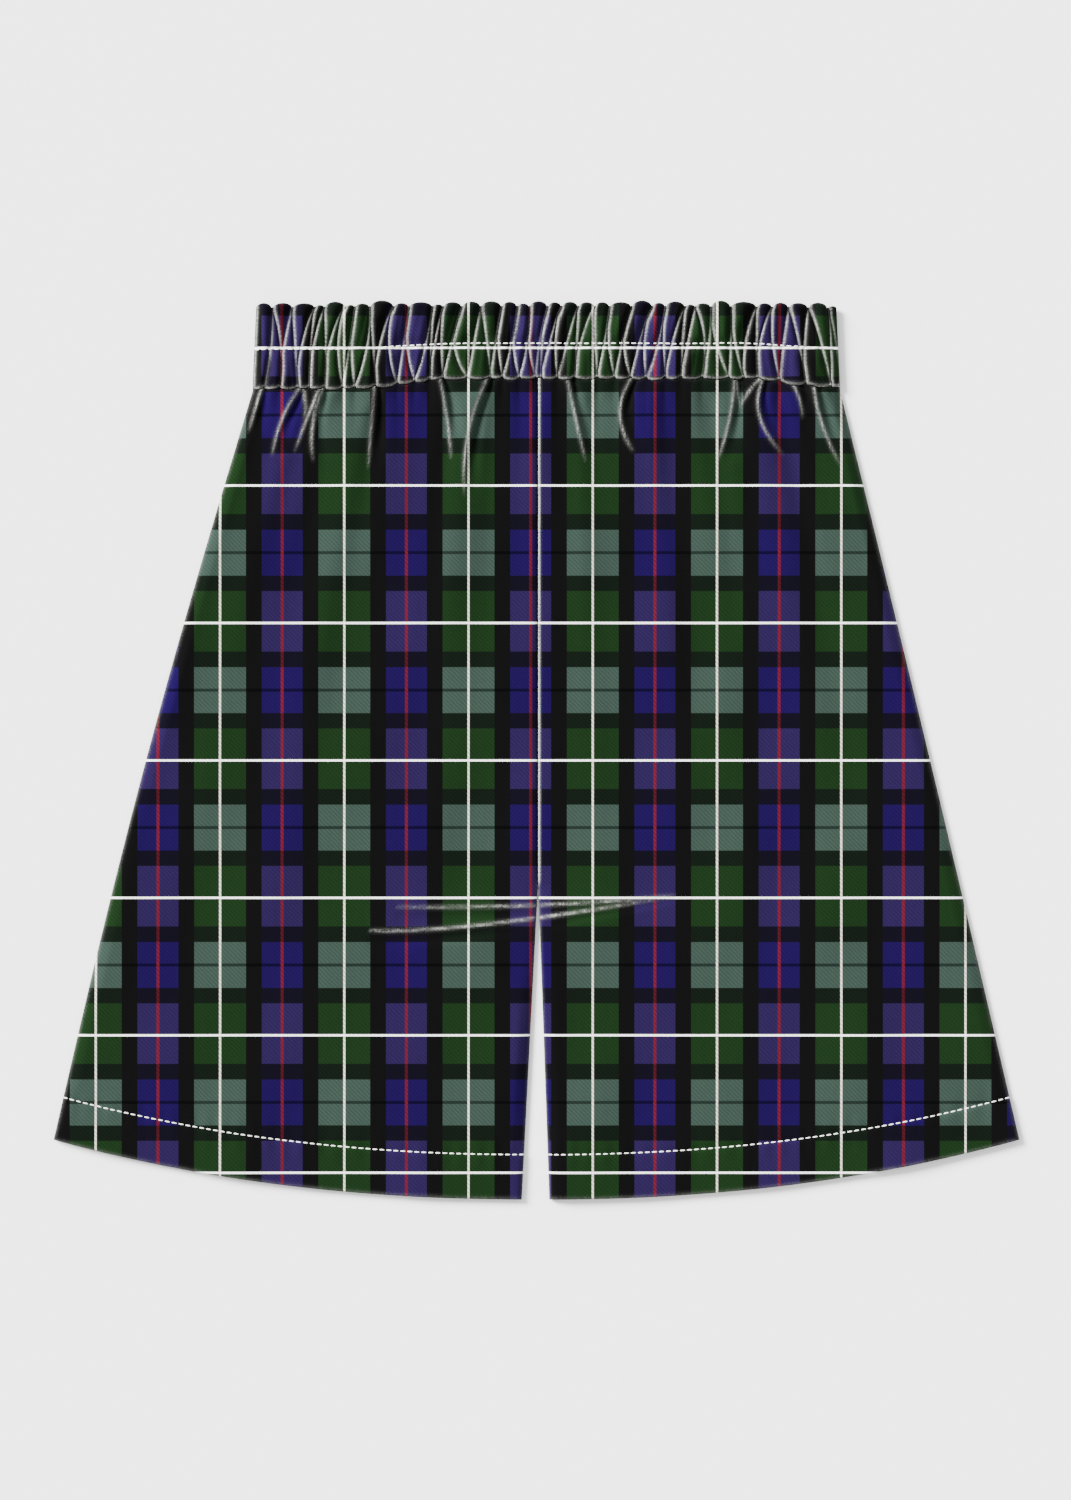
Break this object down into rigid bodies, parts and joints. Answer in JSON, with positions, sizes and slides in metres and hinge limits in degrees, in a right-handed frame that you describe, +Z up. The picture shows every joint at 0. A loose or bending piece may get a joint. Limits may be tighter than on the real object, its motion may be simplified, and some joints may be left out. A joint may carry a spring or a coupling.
{
  "type": "skort, culotte-style pull-on, laid flat",
  "caption": "Child's pull-on tartan skort with a gathered elastic waistband and two wide A-line legs, laid flat on its back",
  "frame": {"origin": "on the surface it rests on, under the middle of its outline", "axes": "+X across the garment towards the wearer's left leg, +Y from hem to waist, +Z up out of the front"},
  "size_m": [0.4836, 0.45, 0.0085],
  "materials": {
    "tartan": "matte woven twill",
    "thread": "matte spun thread"
  },
  "bodies": {
    "root": {"right_front_leg": "tartan", "left_front_leg": "tartan", "right_back_leg": "tartan", "left_back_leg": "tartan", "front_waistband": "tartan", "back_waistband": "tartan"}
  },
  "joints": []
}
